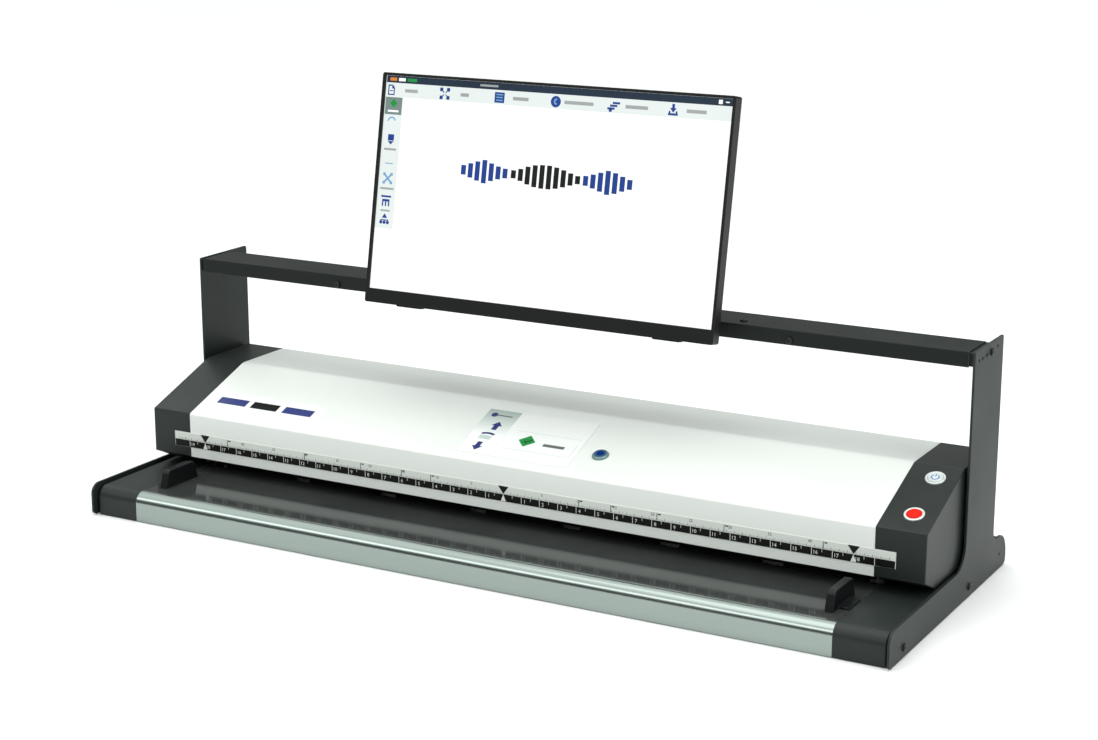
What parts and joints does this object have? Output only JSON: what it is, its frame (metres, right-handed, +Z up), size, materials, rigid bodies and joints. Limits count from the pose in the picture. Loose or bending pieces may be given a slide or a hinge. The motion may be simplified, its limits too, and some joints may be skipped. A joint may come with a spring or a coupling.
{
  "type": "wide-format sheet-fed document scanner",
  "caption": "Wide-format document scanner: hinged scan head over a powered paper path, sliding paper guides, and a frame with a tilting touch-screen monitor.",
  "frame": {"origin": "centre of the footprint on the surface the machine stands on", "axes": "+Z up, +X to the machine's right as its user sees it, the user and the paper entry at -Y, the paper exit at +Y"},
  "size_m": [1.1038, 0.3976, 0.5691],
  "materials": {
    "galvanised_sheet": "satin zinc-plated sheet steel",
    "brushed_stainless": "brushed along its length",
    "charcoal_shell": "fine satin texture",
    "table_lacquer": "semi-gloss black lacquer",
    "white_platen": "matt white",
    "charcoal_powder": "fine powder coat",
    "black_screw": "black oxide",
    "black_plastic": "matt",
    "socket_metal": "satin plated",
    "black_rubber": "matt",
    "motor_metal": "satin",
    "belt_rubber": "matt",
    "circuit_board": "solder mask",
    "bearing_plastic": "natural acetal",
    "pin_steel": "ground",
    "roller_rubber": "ground rubber",
    "pulley_metal": "turned",
    "white_shell": "satin white lacquer",
    "ruler_print": "printed scale",
    "panel_glass": "cover glass over a lit screen",
    "blue_dome": "clear resin dome",
    "satin_ring": "satin",
    "black_sheet": "matt",
    "scan_glass": "clear",
    "sensor_housing": "matt",
    "power_cap": "satin with light ring",
    "stop_cap": "gloss",
    "guide_plastic": "satin",
    "monitor_plastic": "fine texture",
    "display_glass": "lit display"
  },
  "bodies": {
    "base": {"base_chassis": "galvanised_sheet", "front_bar": "brushed_stainless", "base_cap_left": "charcoal_shell", "base_cap_right": "charcoal_shell", "feed_table": "table_lacquer", "exit_table": "table_lacquer", "background_platen": "white_platen", "side_plate_left": "charcoal_powder", "side_plate_right": "charcoal_powder", "side_screws": "black_screw", "crossbar": "charcoal_powder", "crossbar_screws": "black_screw", "rear_panel": "charcoal_powder", "power_inlet": "black_plastic", "data_sockets": "socket_metal", "rubber_feet": "black_rubber", "drive_motor": "motor_metal", "motor_mount": "galvanised_sheet", "drive_belt": "belt_rubber", "main_board": "circuit_board", "power_supply": "socket_metal", "bearing_blocks": "bearing_plastic", "hinge_brackets": "galvanised_sheet", "hinge_pins": "pin_steel", "head_rests": "black_plastic", "monitor_stand": "charcoal_powder", "tilt_pin": "pin_steel"},
    "front_roller": {"front_roller_shaft": "pin_steel", "front_roller_sleeves": "roller_rubber", "front_roller_pulley": "pulley_metal"},
    "rear_roller": {"rear_roller_shaft": "pin_steel", "rear_roller_sleeves": "roller_rubber", "rear_roller_pulley": "pulley_metal"},
    "motor_rotor": {"motor_pulley": "pulley_metal"},
    "scan_head": {"head_cover": "white_shell", "head_cap_left": "charcoal_shell", "head_cap_right": "charcoal_shell", "ruler_strip": "ruler_print", "touch_panel": "panel_glass", "panel_housing": "black_plastic", "status_dome": "blue_dome", "button_rings": "satin_ring", "head_chassis": "galvanised_sheet", "paper_baffles": "black_sheet", "scan_glass": "scan_glass", "image_sensors": "sensor_housing", "hinge_arms": "galvanised_sheet"},
    "front_idler": {"front_idler_shaft": "pin_steel", "front_idler_tyres": "roller_rubber"},
    "rear_idler": {"rear_idler_shaft": "pin_steel", "rear_idler_tyres": "roller_rubber"},
    "power_key": {"power_button": "power_cap"},
    "stop_key": {"stop_button": "stop_cap"},
    "left_guide": {"paper_guide_left": "guide_plastic"},
    "right_guide": {"paper_guide_right": "guide_plastic"},
    "display": {"monitor_back": "monitor_plastic", "monitor_bezel": "monitor_plastic", "display_panel": "display_glass", "tilt_plate": "charcoal_powder", "vesa_screws": "black_screw"}
  },
  "joints": [
    {"name": "front_roller_spin", "type": "hinge", "parent": "base", "child": "front_roller", "pos_m": [0, -0.0268, 0.0243], "axis": [1, 0, 0], "continuous": true},
    {"name": "rear_roller_spin", "type": "hinge", "parent": "base", "child": "rear_roller", "pos_m": [0, 0.0932, 0.0243], "axis": [1, 0, 0], "continuous": true},
    {"name": "motor_spin", "type": "hinge", "parent": "base", "child": "motor_rotor", "pos_m": [-0.508, 0.0332, 0.0183], "axis": [1, 0, 0], "continuous": true},
    {"name": "head_open", "type": "hinge", "parent": "base", "child": "scan_head", "pos_m": [0, 0.1602, 0.052], "axis": [-1, 0, 0], "range_deg": [0, 40]},
    {"name": "front_idler_spin", "type": "hinge", "parent": "scan_head", "child": "front_idler", "pos_m": [0, -0.0268, 0.0477], "axis": [1, 0, 0], "continuous": true},
    {"name": "rear_idler_spin", "type": "hinge", "parent": "scan_head", "child": "rear_idler", "pos_m": [0, 0.0932, 0.0477], "axis": [1, 0, 0], "continuous": true},
    {"name": "power_press", "type": "slide", "parent": "scan_head", "child": "power_key", "axis": [0, 0.3434, -0.9392], "range_m": [0, 0.0018], "stiffness_N_per_m": 700},
    {"name": "stop_press", "type": "slide", "parent": "scan_head", "child": "stop_key", "axis": [0, 0.3434, -0.9392], "range_m": [0, 0.0018], "stiffness_N_per_m": 700},
    {"name": "left_guide_slide", "type": "slide", "parent": "base", "child": "left_guide", "axis": [1, 0, 0], "range_m": [0, 0.35]},
    {"name": "right_guide_slide", "type": "slide", "parent": "base", "child": "right_guide", "axis": [-1, 0, 0], "range_m": [0, 0.35]},
    {"name": "monitor_tilt", "type": "hinge", "parent": "base", "child": "display", "pos_m": [0, 0.07956, 0.41832], "axis": [-1, 0, 0], "range_deg": [-8, 15]}
  ],
  "couplings": [
    {"joint": "rear_roller_spin", "follows": "front_roller_spin", "ratio": 1},
    {"joint": "motor_spin", "follows": "front_roller_spin", "ratio": 1.2857}
  ]
}
